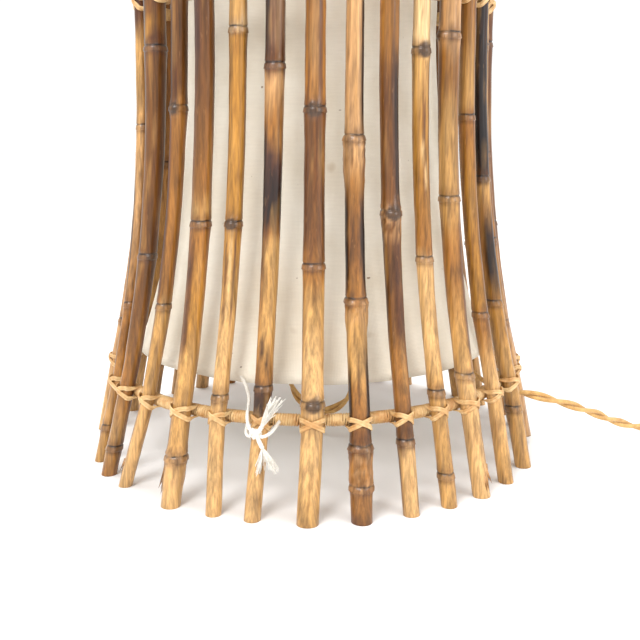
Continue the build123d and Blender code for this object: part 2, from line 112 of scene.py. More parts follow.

# Scorches and dark grooves, with painted light among them: the dark marks near the canes' left and right
# sides (about ±60 to ±90 degrees) and the wide black ones on cane 13 are mostly painted shade, and cane
# 7's tan mark at 0 degrees is a painted highlight. Columns: low and high millimetres, absolute angle, half
# width in degrees, strength, colour.
MARKS_AND_PAINTED_LIGHT = {
    1: [(118, 182, -82, 34, 0.95, "black"), (150, 262, 40, 26, 0.55, "umber"),
        (0, 120, 60, 30, 0.4, "brown")],
    2: [(100, 250, 70, 30, 0.6, "umber"), (0, 100, 75, 30, 0.5, "umber"),
        (262, 310, 45, 45, 0.75, "umber"), (262, 300, -70, 18, 0.8, "black")],
    3: [(112, 222, -72, 34, 0.9, "umber"), (226, 330, -60, 12, 0.95, "plum"),
        (226, 330, -18, 8, 0.85, "umber"), (20, 110, -80, 25, 0.4, "brown")],
    4: [(84, 150, -44, 22, 0.85, "umber"), (248, 330, -62, 48, 0.85, "plum"),
        (20, 150, -85, 22, 0.6, "brown"), (175, 250, -80, 28, 0.5, "umber")],
    5: [(106, 158, -34, 8, 0.9, "brown"), (106, 158, 28, 9, 0.95, "umber"),
        (162, 262, 78, 22, 0.6, "brown"), (110, 158, -3, 12, 0.6, "pale"),
        (40, 110, 70, 22, 0.4, "gold")],
    6: [(150, 210, -80, 30, 0.9, "black"), (112, 150, -62, 26, 0.8, "brown"),
        (74, 112, -60, 22, 0.55, "amber"), (88, 100, -25, 14, 0.9, "black"),
        (80, 90, 14, 12, 0.85, "black"), (58, 74, 0, 180, 0.85, "black"),
        (250, 330, -65, 30, 0.8, "black")],
    # cane 7: the tan mark at 0 degrees is a painted highlight between two dark lines
    7: [(228, 330, -38, 9, 0.75, "umber"), (228, 330, 30, 14, 0.8, "umber"),
        (240, 330, 0, 16, 0.5, "tan"), (66, 136, -80, 26, 0.5, "brown"),
        (150, 222, 8, 6, 0.5, "umber"), (150, 215, -60, 20, 0.5, "umber"),
        (2, 22, -4, 4, 0.8, "brown")],
    8: [(212, 330, 64, 24, 0.97, "black"), (124, 178, -62, 22, 0.97, "black"),
        (124, 178, 62, 24, 0.97, "black"), (48, 88, -66, 22, 0.97, "black"),
        (48, 92, 62, 24, 0.97, "black"), (62, 92, 2, 6, 0.7, "umber"),
        (188, 206, 70, 26, 0.8, "umber")],
    9: [(98, 164, 40, 40, 0.7, "umber"), (172, 250, 62, 34, 0.85, "black"),
        (176, 330, 20, 8, 0.4, "umber"), (50, 100, 75, 24, 0.6, "umber"),
        (0, 40, -76, 22, 0.8, "umber"), (100, 160, -70, 20, 0.5, "black")],
    10: [(176, 238, 18, 11, 0.8, "umber"), (196, 206, 2, 14, 0.9, "pale"),
         (182, 192, 30, 12, 0.8, "pale"), (150, 250, 78, 20, 0.6, "umber"),
         (76, 134, 74, 22, 0.4, "amber")],
    11: [(76, 166, 66, 26, 0.75, "umber"), (176, 250, 64, 24, 0.55, "brown"),
         (212, 258, -72, 26, 0.7, "umber"), (266, 330, -78, 22, 0.7, "umber"),
         (6, 66, 78, 20, 0.4, "brown")],
    12: [(108, 216, 62, 26, 0.55, "brown"), (110, 200, -50, 20, 0.4, "umber"),
         (226, 330, 70, 22, 0.5, "umber")],
    # cane 13: the wide black marks are painted shade on its dark side
    13: [(114, 158, 30, 62, 0.97, "black"), (196, 330, -30, 60, 0.95, "black")],
    14: [(90, 260, 60, 26, 0.4, "brown")],
}

# Bud scars: height in millimetres, absolute angle, radius in millimetres.
SCARS = {
    2: [(137, 30, 2.6)],
    3: [(224, -42, 4.2)],
    5: [(161, -16, 3.6)],
    7: [(223, -2, 4.6), (65, 4, 4.4)],
    9: [(167, 16, 4.6)],
    10: [(255, 24, 4.6)],
    11: [(264, -70, 3.0)],
}
# Rough swollen stretches: low and high millimetres, extra radius in millimetres.
SWELLS = {
    4: [(12, 34, 0.9)],
    8: [(184, 209, 1.3), (104, 121, 1.2), (17, 42, 1.1)],
    9: [(150, 172, 0.7)],
}
ROUGH_COLOUR = "tan"
# Splintered feet: absolute angle and how many splinters.
SPLINTERS = {3: (-98, 3), 4: (-92, 6), 11: (52, 4)}
SPLINTER_W = 3.0
SPLINTER_SUNK = 0.9

EDGE_STEPS = (-12, -9, -6.5, -4.8, -3.6, -2.6, -1.95, -1.65, -1.1, -0.4, 0.3, 0.9, 1.25, 1.6, 2.0,
              2.6, 3.6, 5.5, 8)
PLAIN_STEP = 6.0
AROUND = 28
# A node, in millimetres above it: the band's foot, its ledge and the groove over the ledge.
BAND_FOOT, BAND_LEDGE = -1.7, 1.3
GROOVE_AT, GROOVE_W = 1.6, 0.55
UNEVEN = 0.22
SCAR_BULGE = 1.3


def linear(colour, level=1.0):
    """An sRGB colour as linear values."""
    out = []
    for c in colour[:3]:
        c = c / 255
        out.append(level * (c / 12.92 if c <= 0.04045 else ((c + 0.055) / 1.055) ** 2.4))
    return out


def new_object(name, verts, faces, colours=None, uvs=None, smooth=True):
    mesh = bpy.data.meshes.new(name)
    mesh.from_pydata([tuple(v) for v in verts], [], faces)
    if smooth:
        mesh.shade_smooth()
    if colours is not None:
        layer = mesh.color_attributes.new("tint", "FLOAT_COLOR", "POINT")
        flat = np.ones((len(verts), 4), np.float32)
        flat[:, :3] = colours
        layer.data.foreach_set("color", flat.ravel())
    if uvs is not None:
        layer = mesh.uv_layers.new(name="UVMap")
        loops = np.empty(len(mesh.loops), np.int32)
        mesh.loops.foreach_get("vertex_index", loops)
        layer.data.foreach_set("uv", np.asarray(uvs, np.float32)[loops].ravel())
    mesh.validate()
    obj = bpy.data.objects.new(name, mesh)
    bpy.context.scene.collection.objects.link(obj)
    return obj


def place(obj, material, slot, body, *nodes):
    """Gives a finished piece its material and its body, and hides the CAD nodes it stands for; slot is not
    used.
    """
    obj.data.materials.clear()
    obj.data.materials.append(material)
    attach(obj, body)
    if nodes:
        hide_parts(*nodes)
    return obj


def polar(radius, degrees, z=0.0):
    a = math.radians(degrees)
    return Vector((radius * math.sin(a), -radius * math.cos(a), z))


def angle_of(point):
    return math.degrees(math.atan2(point.x, -point.y))


def lerp(a, b, t):
    return a + (b - a) * t


def smooth_step(low, high, value):
    t = min(1.0, max(0.0, (value - low) / (high - low)))
    return t * t * (3 - 2 * t)


# ---- materials ----
class Shader:
    """A node material with a few short-hand calls."""

    def __init__(self, name):
        self.material = bpy.data.materials.new(name)
        self.material.use_nodes = True
        self.tree = self.material.node_tree
        self.surface = self.tree.nodes["Principled BSDF"]

    def node(self, kind, **values):
        made = self.tree.nodes.new(kind)
        for key, value in values.items():
            setattr(made, key, value)
        return made

    def link(self, source, target):
        self.tree.links.new(source, target)

    def set(self, **values):
        for key, value in values.items():
            self.surface.inputs[key.replace("_", " ")].default_value = value
        return self

    def object_coords(self, scale):
        coords = self.node("ShaderNodeTexCoord")
        mapping = self.node("ShaderNodeMapping")
        mapping.inputs["Scale"].default_value = scale
        self.link(coords.outputs["Object"], mapping.inputs["Vector"])
        return mapping.outputs["Vector"]

    def uv_coords(self, scale):
        coords = self.node("ShaderNodeUVMap", uv_map="UVMap")
        mapping = self.node("ShaderNodeMapping")
        mapping.inputs["Scale"].default_value = scale
        self.link(coords.outputs["UV"], mapping.inputs["Vector"])
        return mapping.outputs["Vector"]

    def noise(self, vector, scale, detail=3.0, rough=0.5):
        made = self.node("ShaderNodeTexNoise")
        made.inputs["Scale"].default_value = scale
        made.inputs["Detail"].default_value = detail
        made.inputs["Roughness"].default_value = rough
        self.link(vector, made.inputs["Vector"])
        return made.outputs["Fac"]

    def ramp(self, value, *stops):
        made = self.node("ShaderNodeValToRGB")
        ramp = made.color_ramp
        while len(ramp.elements) < len(stops):
            ramp.elements.new(0.5)
        for element, (at, colour) in zip(ramp.elements, stops):
            element.position = at
            element.color = (*colour, 1) if len(colour) == 3 else colour
        self.link(value, made.inputs["Fac"])
        return made.outputs["Color"]

    def mix(self, kind, factor, a, b):
        made = self.node("ShaderNodeMix", data_type="RGBA", blend_type=kind)
        for value, socket in ((factor, made.inputs[0]), (a, made.inputs[6]), (b, made.inputs[7])):
            if isinstance(value, bpy.types.NodeSocket):
                self.link(value, socket)
            elif isinstance(value, (int, float)):
                socket.default_value = value
            else:
                socket.default_value = (*value, 1)
        return made.outputs[2]

    def bump(self, height, strength, distance):
        made = self.node("ShaderNodeBump")
        made.inputs["Strength"].default_value = strength
        made.inputs["Distance"].default_value = distance
        self.link(height, made.inputs["Height"])
        self.link(made.outputs["Normal"], self.surface.inputs["Normal"])

    def colour(self, source):
        self.link(source, self.surface.inputs["Base Color"])


def grey(value):
    return (value, value, value)


def cane_material():
    s = Shader("varnished_cane")
    tint = s.node("ShaderNodeVertexColor", layer_name="tint").outputs["Color"]
    fibres = s.noise(s.object_coords((1, 1, 0.05)), 900, 3, 0.65)
    streaks = s.noise(s.object_coords((1, 1, 0.03)), 260, 2, 0.5)
    mottle = s.noise(s.object_coords((1, 1, 0.16)), 120, 4, 0.6)
    flecks = s.noise(s.object_coords((1, 1, 0.22)), 480, 2, 0.6)
    base = s.mix("MULTIPLY", 0.55, tint, s.ramp(fibres, (0.34, grey(0.42)), (0.62, grey(1.2))))
    base = s.mix("MULTIPLY", 0.60, base, s.ramp(streaks, (0.36, grey(0.44)), (0.58, grey(1.12))))
    base = s.mix("MULTIPLY", 0.55, base, s.ramp(mottle, (0.32, (0.70, 0.62, 0.52)), (0.60, grey(1.10))))
    base = s.mix("ADD", s.ramp(flecks, (0.66, grey(0)), (0.74, grey(0.12))), base, linear(PALETTE["tan"]))
    s.colour(base)
    rough = s.ramp(mottle, (0.3, grey(0.28)), (0.7, grey(0.46)))
    s.link(rough, s.surface.inputs["Roughness"])
    s.set(Coat_Weight=0.30, Coat_Roughness=0.12, Specular_IOR_Level=0.35)
    s.bump(fibres, 0.35, 0.0004)
    return s.material


def strip_material():
    """Split rattan: long fibres, a little mottled, darker in places."""
    s = Shader("rattan_strip")
    fibres = s.noise(s.uv_coords((900, 40, 1)), 1.0, 3, 0.6)
    patches = s.noise(s.object_coords((1, 1, 1)), 140, 3, 0.6)
    colour = s.ramp(fibres, (0.25, linear((188, 150, 96))), (0.55, linear((222, 188, 134))),
                    (0.8, linear((244, 220, 172))))
    shade = s.ramp(patches, (0.35, linear((214, 176, 130))), (0.6, grey(1.0)))
    s.colour(s.mix("MULTIPLY", 0.8, colour, shade))
    s.set(Roughness=0.48, Coat_Weight=0.15, Coat_Roughness=0.3)
    s.bump(fibres, 0.5, 0.0003)
    return s.material


def hoop_material():
    s = Shader("hoop_cane_painted_shade")
    grain = s.noise(s.object_coords((1, 1, 1)), 420, 4, 0.65)
    # Near-black: painted shade for the dark gaps between the binding strips
    s.colour(s.ramp(grain, (0.3, linear((30, 16, 10))), (0.7, linear((74, 44, 24)))))
    s.set(Roughness=0.5)
    s.bump(grain, 0.4, 0.0004)
    return s.material


def cloth_material():
    s = Shader("cream_linen")
    warp = s.node("ShaderNodeTexWave", wave_type="BANDS", bands_direction="X")
    weft = s.node("ShaderNodeTexWave", wave_type="BANDS", bands_direction="Y")
    for wave, vector in ((warp, (1, 1, 1)), (weft, (1, 1, 1))):
        wave.inputs["Scale"].default_value = 420
        wave.inputs["Distortion"].default_value = 1.2
        wave.inputs["Detail"].default_value = 1.0
        s.link(s.uv_coords(vector), wave.inputs["Vector"])
    weave = s.mix("MULTIPLY", 1.0, warp.outputs["Color"], weft.outputs["Color"])
    slubs = s.noise(s.uv_coords((60, 700, 1)), 1.0, 3, 0.6)
    cloud = s.noise(s.object_coords((1, 1, 1)), 26, 4, 0.55)
    specks = s.noise(s.object_coords((1, 1, 1)), 230, 1.5, 0.5)
    stains = s.noise(s.object_coords((1, 1, 0.8)), 62, 1.0, 0.4)
    base = s.ramp(cloud, (0.35, linear((232, 222, 202))), (0.65, linear((245, 238, 222))))
    base = s.mix("MULTIPLY", 0.10, base, s.ramp(slubs, (0.35, grey(0.72)), (0.6, grey(1.0))))
    base = s.mix("MULTIPLY", 0.10, base, weave)
    dark = s.ramp(specks, (0.765, grey(0)), (0.79, grey(0.75)))
    base = s.mix("MIX", dark, base, linear((128, 98, 66)))
    faint = s.ramp(stains, (0.74, grey(0)), (0.80, grey(0.35)))
    base = s.mix("MIX", faint, base, linear((170, 142, 100)))
    s.colour(base)
    s.set(Roughness=0.95, Sheen_Weight=0.12, Sheen_Roughness=0.5, Specular_IOR_Level=0.2)
    s.bump(s.mix("ADD", 0.5, weave, slubs), 0.35, 0.0003)
    return s.material


def string_material():
    s = Shader("white_cotton")
    fluff = s.noise(s.object_coords((1, 1, 1)), 900, 3, 0.6)
    s.colour(s.ramp(fluff, (0.3, linear((216, 210, 198))), (0.7, linear((244, 241, 233)))))
    s.set(Roughness=0.9, Sheen_Weight=0.3)
    s.bump(fluff, 0.5, 0.0003)
    return s.material


def flex_material():
    """Gold braid: two sets of fine diagonal threads over each strand."""
    s = Shader("gold_braid")
    left = s.node("ShaderNodeTexWave", wave_type="BANDS", bands_direction="DIAGONAL")
    right = s.node("ShaderNodeTexWave", wave_type="BANDS", bands_direction="DIAGONAL")
    for wave, scale in ((left, (1, 1, 1)), (right, (-1, 1, 1))):
        wave.inputs["Scale"].default_value = 300
        s.link(s.uv_coords(scale), wave.inputs["Vector"])
    braid = s.mix("MULTIPLY", 1.0, left.outputs["Color"], right.outputs["Color"])
    wear = s.noise(s.object_coords((1, 1, 1)), 220, 3, 0.5)
    base = s.ramp(wear, (0.3, linear((190, 140, 74))), (0.7, linear((226, 182, 112))))
    s.colour(s.mix("MULTIPLY", 0.3, base, s.ramp(braid, (0.0, grey(0.55)), (0.6, grey(1.0)))))
    s.set(Roughness=0.55, Sheen_Weight=0.25, Sheen_Roughness=0.4)
    s.bump(braid, 0.5, 0.0003)
    return s.material


def moulded_material(name, colour, roughness, scale=500):
    """A moulded or painted surface: faint mottling and an uneven polish."""
    s = Shader(name)
    mottle = s.noise(s.object_coords((1, 1, 1)), scale, 3, 0.55)
    low, high = linear(colour, 0.85), linear(colour, 1.12)
    s.colour(s.ramp(mottle, (0.3, low), (0.7, high)))
    s.link(s.ramp(mottle, (0.3, grey(roughness * 0.85)), (0.7, grey(roughness * 1.2))),
           s.surface.inputs["Roughness"])
    s.bump(mottle, 0.15, 0.0002)
    return s


def metal_material(name, colour, roughness):
    s = moulded_material(name, colour, roughness)
    s.set(Metallic=1.0)
    return s.material


# ---- canes ----
def cane_stations(node):
    """Heights, centres and radii of a CAD cane's rings, from the node's own vertices."""
    rings = {}
    for v in NODES[node].data.vertices:
        rings.setdefault(round(v.co.z, 5), []).append(v.co)
    out = []
    for z, points in sorted(rings.items()):
        co = np.array(points)
        low, high = co.min(0), co.max(0)
        centre = (low + high) / 2
        reach = np.hypot(co[:, 0] - centre[0], co[:, 1] - centre[1]).max()
        out.append((z, centre[0], centre[1], reach))
    return out


def split_nodes(stations):
    """The plain stations, and the heights where the cane swells at a node."""
    plain, swollen = [], []
    for i, s in enumerate(stations):
        inside = 0 < i < len(stations) - 1
        if inside and s[3] > 1.06 * max(stations[i - 1][3], stations[i + 1][3]):
            swollen.append(s[0])
        else:
            plain.append(s)
    return np.array(plain), swollen


def curve_through(heights, values, z):
    """A smooth value at z through the given ones."""
    i = int(np.clip(np.searchsorted(heights, z) - 1, 0, len(heights) - 2))
    h = heights[i + 1] - heights[i]
    t = (z - heights[i]) / h

    def slope(k):
        a, b = max(0, k - 1), min(len(heights) - 1, k + 1)
        return (values[b] - values[a]) / (heights[b] - heights[a])

    a, b = values[i], values[i + 1]
    ma, mb = slope(i) * h, slope(i + 1) * h
    t2, t3 = t * t, t * t * t
    return (2 * t3 - 3 * t2 + 1) * a + (t3 - 2 * t2 + t) * ma + (3 * t2 - 2 * t3) * b + (t3 - t2) * mb


def cane_heights(low, high, nodes):
    """Rows close together at the nodes and the ends, and PLAIN_STEP apart elsewhere."""
    rows = {low, low + 0.6, high - 0.6, high}
    for node in nodes:
        rows.update(node + step for step in EDGE_STEPS)
    rows = sorted(r for r in rows if low <= r <= high)
    out = [rows[0]]
    for r in rows[1:]:
        gap = r - out[-1]
        count = max(1, math.ceil(gap / PLAIN_STEP))
        out += [out[-1] + gap * k / count for k in range(1, count + 1)] if gap > 0.15 else []
    return out


def node_shape(offset, radius):
    """Extra radius near a node: a band that widens down to a ledge, and a groove above it."""
    if offset < BAND_FOOT:
        share = 0.09 * math.exp((offset - BAND_FOOT) / 7.0)
    elif offset < BAND_LEDGE:
        share = lerp(0.17, 0.09, (offset - BAND_FOOT) / (BAND_LEDGE - BAND_FOOT))
    else:
        share = 0.08 * math.exp(-(offset - BAND_LEDGE) / 5.0)
    groove = -0.075 * math.exp(-((offset - GROOVE_AT) / GROOVE_W) ** 2)
    return radius * (share + groove)


def tint_at(stops, z):
    for (z0, a), (z1, b) in zip(stops, stops[1:]):
        if z <= z1:
            t = smooth_step(z0, z1, z)
            return [lerp(p, q, t) for p, q in zip(linear(PALETTE[a]), linear(PALETTE[b]))]
    return linear(PALETTE[stops[-1][1]])


def blend_to(colour, name, amount):
    return [lerp(p, q, amount) for p, q in zip(colour, linear(PALETTE[name]))]


def turn_between(a, b):
    return abs((a - b + 180) % 360 - 180)


def cane_colour(number, z, facing, nodes, seed):
    """Colour of a point on a cane: its run with a few painted highlights, its marks with painted shade
    along its sides, its nodes with a painted shadow under each band, and a slow mottling.
    """
    stops = TINTS.get(number) or BACK_TINTS[number % len(BACK_TINTS)]
    wander = noise.noise(Vector((seed, z / 22, facing / 50)))
    colour = tint_at(stops, z + 9 * wander)
    # Scorches, grooves, painted shade along the canes' sides and a painted highlight on cane 7
    for low, high, at, half, strength, name in MARKS_AND_PAINTED_LIGHT.get(number, []):
        soft = min(12.0, (high - low) / 3)
        shift = 5 * noise.noise(Vector((seed + at, z / 16, 3.1)))
        along = smooth_step(low - soft, low + soft, z) * smooth_step(high + soft, high - soft, z)
        away = turn_between(facing + shift, at)
        amount = strength * along * (1 - smooth_step(half * 0.75, half * 1.25, away))
        colour = blend_to(colour, name, amount)
    blot = noise.noise(Vector((seed + 7, z / 9, facing / 28)))
    colour = blend_to(colour, "umber", 0.40 * smooth_step(0.16, 0.55, blot))
    glow = noise.noise(Vector((seed + 17, z / 30, facing / 60)))
    colour = blend_to(colour, "gold", 0.30 * smooth_step(0.2, 0.6, glow))
    for node in nodes:
        off = z - node + 0.5 * noise.noise(Vector((seed + node, 2.2, facing / 40)))
        if abs(off) > 12:
            continue
        power = 0.7 + 0.5 * noise.noise(Vector((seed + node, 5.5, facing / 90)))
        ridge = smooth_step(-1.9, -1.3, off) * smooth_step(1.4, 0.8, off)
        colour = blend_to(colour, "grey", 0.75 * power * ridge)
        # Painted shadow: umber just below the band's foot, where the band steps out
        colour = blend_to(colour, "umber", 0.75 * power * math.exp(-((off + 2.7) / 1.2) ** 2))
        colour = blend_to(colour, "brown", 0.6 * power * math.exp(-((off - 3.6) / 2.6) ** 2))
        colour = blend_to(colour, "black", min(1.0, 1.3 * power) * math.exp(-((off - 1.6) / 0.6) ** 2))
    return colour


def make_cane(number):
    name = f"cane_{number:02d}"
    stations, nodes = split_nodes(cane_stations(name))
    heights = stations[:, 0]
    nodes_mm = [z / MM for z in nodes]
    seed = number * 3.7
    low, high = heights[0] / MM, heights[-1] / MM
    rows = cane_heights(low, high, nodes_mm)
    verts, colours = [], []
    for z in rows:
        at = z * MM
        cx = curve_through(heights, stations[:, 1], at)
        cy = curve_through(heights, stations[:, 2], at)
        radius = float(np.interp(at, heights, stations[:, 3])) / MM
        shape = sum(node_shape(z - n, radius) for n in nodes_mm)
        for k in range(AROUND):
            facing = k * 360 / AROUND
            extra = shape + UNEVEN * noise.noise(Vector((seed, z / 14, facing / 70)))
            grey_in = 0.0
            for sz, at_angle, size in SCARS.get(number, []):
                d2 = ((z - sz) / size) ** 2
                d2 += (math.radians(turn_between(facing, at_angle)) * radius / size) ** 2
                extra += SCAR_BULGE * math.exp(-d2 * 1.1)
                grey_in = max(grey_in, 1 - smooth_step(0.55, 1.05, d2))
            rough_in = 0.0
            for a, b, more in SWELLS.get(number, []):
                inside = smooth_step(a - 3, a + 4, z) * smooth_step(b + 3, b - 4, z)
                lumps = 0.55 + 0.6 * noise.noise(Vector((seed + 5, z / 3.0, facing / 16)))
                extra += more * inside * lumps
                rough_in = max(rough_in, inside * smooth_step(0.4, 0.8, lumps))
            verts.append(Vector((cx, cy, at)) + polar((radius + extra) * MM, facing))
            colour = cane_colour(number, z, facing, nodes_mm, seed)
            colour = blend_to(colour, ROUGH_COLOUR, 0.6 * rough_in)
            colours.append(blend_to(colour, "scar", 0.9 * grey_in))
    faces = []
    for i in range(len(rows) - 1):
        for k in range(AROUND):
            a, b = i * AROUND + k, i * AROUND + (k + 1) % AROUND
            faces.append((a, b, b + AROUND, a + AROUND))
    add_cut_end(verts, colours, faces, 0, 1)
    add_cut_end(verts, colours, faces, (len(rows) - 1) * AROUND, -1)
    if number in SPLINTERS:
        add_splinters(verts, colours, faces, number, low)
    return place(new_object(f"{name}_detail", verts, faces, colours), CANE, slot_of(name), "cage", name)


def add_cut_end(verts, colours, faces, start, inward):
    """A sawn end: a pale wall ring round a hollow painted black as painted shade."""
    rim = [verts[start + k] for k in range(AROUND)]
    centre = sum(rim, Vector()) / AROUND
    rings = [start]
    # The inner ring and the tip, 2.5 mm in, are painted black: painted shade in the hollow
    for share, depth, name in ((0.93, 0.0, "straw"), (0.50, 0.0, "tan"), (0.44, 2.5, "black")):
        rings.append(len(verts))
        for v in rim:
            verts.append(centre.lerp(v, share) + Vector((0, 0, inward * depth * MM)))
            colours.append(linear(PALETTE[name]))
    tip = len(verts)
    verts.append(centre + Vector((0, 0, inward * 2.5 * MM)))
    colours.append(linear(PALETTE["black"]))
    for a, b in zip(rings, rings[1:]):
        for k in range(AROUND):
            n = (k + 1) % AROUND
            quad = (a + k, b + k, b + n, a + n)
            faces.append(quad if inward > 0 else quad[::-1])
    for k in range(AROUND):
        tri = (rings[-1] + k, tip, rings[-1] + (k + 1) % AROUND)
        faces.append(tri if inward > 0 else tri[::-1])


def add_splinters(verts, colours, faces, number, low):
    """Thin spikes that peel down and outward from the foot of a torn cane."""
    at_angle, count = SPLINTERS[number]
    for k in range(count):
        root_z = low + 13 + 2.2 * k
        centre, radius = cane_at(number, root_z * MM)
        facing = at_angle + 11 * (k - (count - 1) / 2)
        out = polar(1, facing)
        side = polar(SPLINTER_W / 2 * MM, facing + 90)
        root = centre + out * (radius - SPLINTER_SUNK * MM)
        reach = 2.4 + 0.9 * (k % 3) + SPLINTER_SUNK
        drop = 9 + 2 * (k % 2)
        tip = root + out * reach * MM - Vector((0, 0, drop * MM))
        start = len(verts)
        verts.extend([root + side, root - side, root + out * 1.8 * MM, tip])
        colours.extend([linear(PALETTE["tan"])] * 3 + [linear(PALETTE["amber"])])
        faces.extend([(start, start + 2, start + 1), (start, start + 1, start + 3),
                      (start + 1, start + 2, start + 3), (start + 2, start, start + 3)])


def slot_of(node):
    for part in frame["record"]["subparts"]:
        if part["node"] == node:
            return part["material_slot"]
    raise KeyError(node)


# ---- ribbons and round strings ----
class Builder:
    """Collects several strips or tubes into one mesh with a UV along and across."""

    def __init__(self):
        self.verts, self.faces, self.uvs = [], [], []

    def sweep(self, points, frames, section, closed=False):
        """Sweeps a closed section of (side, out) pairs along points; a frame is (side, out)."""
        n = len(section)
        base = len(self.verts)
        run = 0.0
        for i, p in enumerate(points):
            run += (p - points[i - 1]).length if i else 0.0
            side, out = frames[i]
            for k, (s, o) in enumerate(section):
                self.verts.append(p + side * s + out * o)
                self.uvs.append((k / n * 0.01, run))
        count = len(points) if closed else len(points) - 1
        for i in range(count):
            j = (i + 1) % len(points)
            for k in range(n):
                m = (k + 1) % n
                self.faces.append((base + i * n + k, base + i * n + m, base + j * n + m, base + j * n + k))
        if not closed:
            self.faces.append(tuple(base + k for k in range(n))[::-1])
            last = base + (len(points) - 1) * n
            self.faces.append(tuple(last + k for k in range(n)))

    def done(self, name):
        return new_object(name, self.verts, self.faces, uvs=self.uvs)


def strip_section(width, thick):
    """A flat strip with a slightly crowned back and rounded edges."""
    w, t = width / 2, thick / 2
    return [(-w, -t * 0.3), (-w * 0.8, -t), (w * 0.8, -t), (w, -t * 0.3), (w, t * 0.3),
            (w * 0.72, t), (0, t * 1.25), (-w * 0.72, t), (-w, t * 0.3)]


def wrap_section():
    """A narrow strip with a high round back, so that each turn stands out from the next."""
    w, t = WRAP_W / 2, WRAP_T / 2
    return [(-w, -t), (w, -t), (w * 0.97, t * 0.1), (w * 0.6, t), (0, t + WRAP_CROWN * 0.4),
            (-w * 0.6, t), (-w * 0.97, t * 0.1)]


def round_section(radius, sides=8):
    return [(radius * math.cos(2 * math.pi * k / sides), radius * math.sin(2 * math.pi * k / sides))
            for k in range(sides)]


def between(p0, p1, p2, p3, t):
    """A point on the smooth curve from p1 to p2."""
    return 0.5 * ((2 * p1) + (p2 - p0) * t + (2 * p0 - 5 * p1 + 4 * p2 - p3) * t * t
                  + (3 * p1 - p0 - 3 * p2 + p3) * t ** 3)


def smooth_closed(points, per):
    """A closed smooth line through the points, with per steps between each two."""
    out = []
    n = len(points)
    for i in range(n):
        four = [points[(i + k - 1) % n] for k in range(4)]
        out += [between(*four, s / per) for s in range(per)]
    return out


def smooth_open(points, per):
    """An open smooth line through the points, with per steps between each two."""
    padded = [2 * points[0] - points[1]] + list(points) + [2 * points[-1] - points[-2]]
    out = []
    for i in range(1, len(padded) - 2):
        out += [between(*padded[i - 1:i + 3], s / per) for s in range(per)]
    return out + [points[-1]]


def frames_along(points, outs=None, closed=False, first=(0.3, 0.2, 0.9)):
    """A (side, out) pair at each point, square to the line; out follows outs or the one before."""
    frames = []
    out = Vector(first)
    last = len(points) - 1
    for i in range(len(points)):
        if closed:
            along = points[(i + 1) % len(points)] - points[i - 1]
        else:
            along = points[min(i + 1, last)] - points[max(i - 1, 0)]
        along.normalize()
        out = outs[i] if outs else out
        out = (out - along * out.dot(along)).normalized()
        frames.append((along.cross(out), out))
    return frames


# ---- bindings ----
CANES = 33
STRIP_W = 2.9 * MM
STRIP_T = 0.75 * MM
WRAP_W = 1.35 * MM
WRAP_T = 0.6 * MM
WRAP_CROWN = 1.0 * MM
WRAP_PITCH = 1.5 * MM
WRAP_GAP = 1.8 * MM
LASH_RISE = 3.1 * MM
LASH_LIFT = 2.4 * MM


def cane_at(number, z):
    """Centre and radius of a cane at a height."""
    stations, _ = split_nodes(cane_stations(f"cane_{number:02d}"))
    h = stations[:, 0]
    centre = Vector((curve_through(h, stations[:, 1], z), curve_through(h, stations[:, 2], z), z))
    return centre, float(np.interp(z, h, stations[:, 3]))


def hoop_size(node):
    """A hoop's radius, the radius of its wire, and its height."""
    low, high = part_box(node)
    wire = (high.z - low.z) / 2
    return (high.x - low.x) / 2 - wire, wire, (low.z + high.z) / 2


def lash_points(centre, radius, hoop_gap, wire, rise, over):
    """One strip of a lashing: over the cane's front on a slant and back round the hoop."""
    outward = Vector((centre.x, centre.y, 0)).normalized()
    along = Vector((-outward.y, outward.x, 0))
    up = Vector((0, 0, 1))
    hoop = centre - outward * hoop_gap
    lift = radius + STRIP_T * 0.62
    points, outs = [], []
    for b in (-84, -60, -36, -12, 12, 36, 60, 84):
        a = math.radians(b)
        bulge = over * math.exp(-(b / 26) ** 2)
        direction = outward * math.cos(a) + along * math.sin(a)
        height = rise * math.sin(a) + LASH_LIFT * math.cos(a)
        points.append(centre + direction * (lift + bulge) + up * height)
        outs.append(direction)
    turn = 1 if rise > 0 else -1
    r = wire + STRIP_T * 0.62
    side = lift * 0.86
    for v, z, u in ((side, turn * r * 0.95, r * 0.5), (side * 0.62, turn * r * 0.8, -r * 0.62),
                    (0, 0, -r * 1.12), (-side * 0.62, -turn * r * 0.8, -r * 0.62),
                    (-side, -turn * r * 0.95, r * 0.5)):
        points.append(hoop + outward * u + along * v + up * z)
        outs.append((outward * (u * 0.8) + up * z).normalized())
    return points, outs


def smooth_pair(points, outs, per):
    fine = smooth_closed(points, per)
    directions = [d.normalized() for d in smooth_closed(outs, per)]
    return fine, frames_along(fine, directions, closed=True)


def make_binding(level):
    radius, wire, z = hoop_size(f"{level}_hoop")
    strips = Builder()
    spans = []
    for number in range(1, CANES + 1):
        centre, r = cane_at(number, z)
        gap = math.hypot(centre.x, centre.y) - radius
        near = noise.noise(Vector((number * 1.7, z * 40, 0)))
        for sign, over in ((1, 0.0), (-1, STRIP_T)):
            rise = sign * LASH_RISE * (1 + 0.25 * near)
            points, outs = lash_points(centre + Vector((0, 0, 0.6 * MM * near)), r, gap, wire, rise, over)
            fine, frames = smooth_pair(points, outs, 5)
            strips.sweep(fine, frames, strip_section(STRIP_W, STRIP_T), closed=True)
        spans.append((angle_of(centre), math.degrees((r * 0.95 + STRIP_T + WRAP_GAP) / radius)))
    for (a, half_a), (b, half_b) in zip(spans, spans[1:] + [(spans[0][0] + 360, spans[0][1])]):
        if b < a:
            b += 360
        wind(strips, radius, z, wire, a + half_a, b - half_b)
    obj = strips.done(f"{level}_strips")
    return place(obj, STRIP, "rattan_strip", "cage", f"{level}_binding")


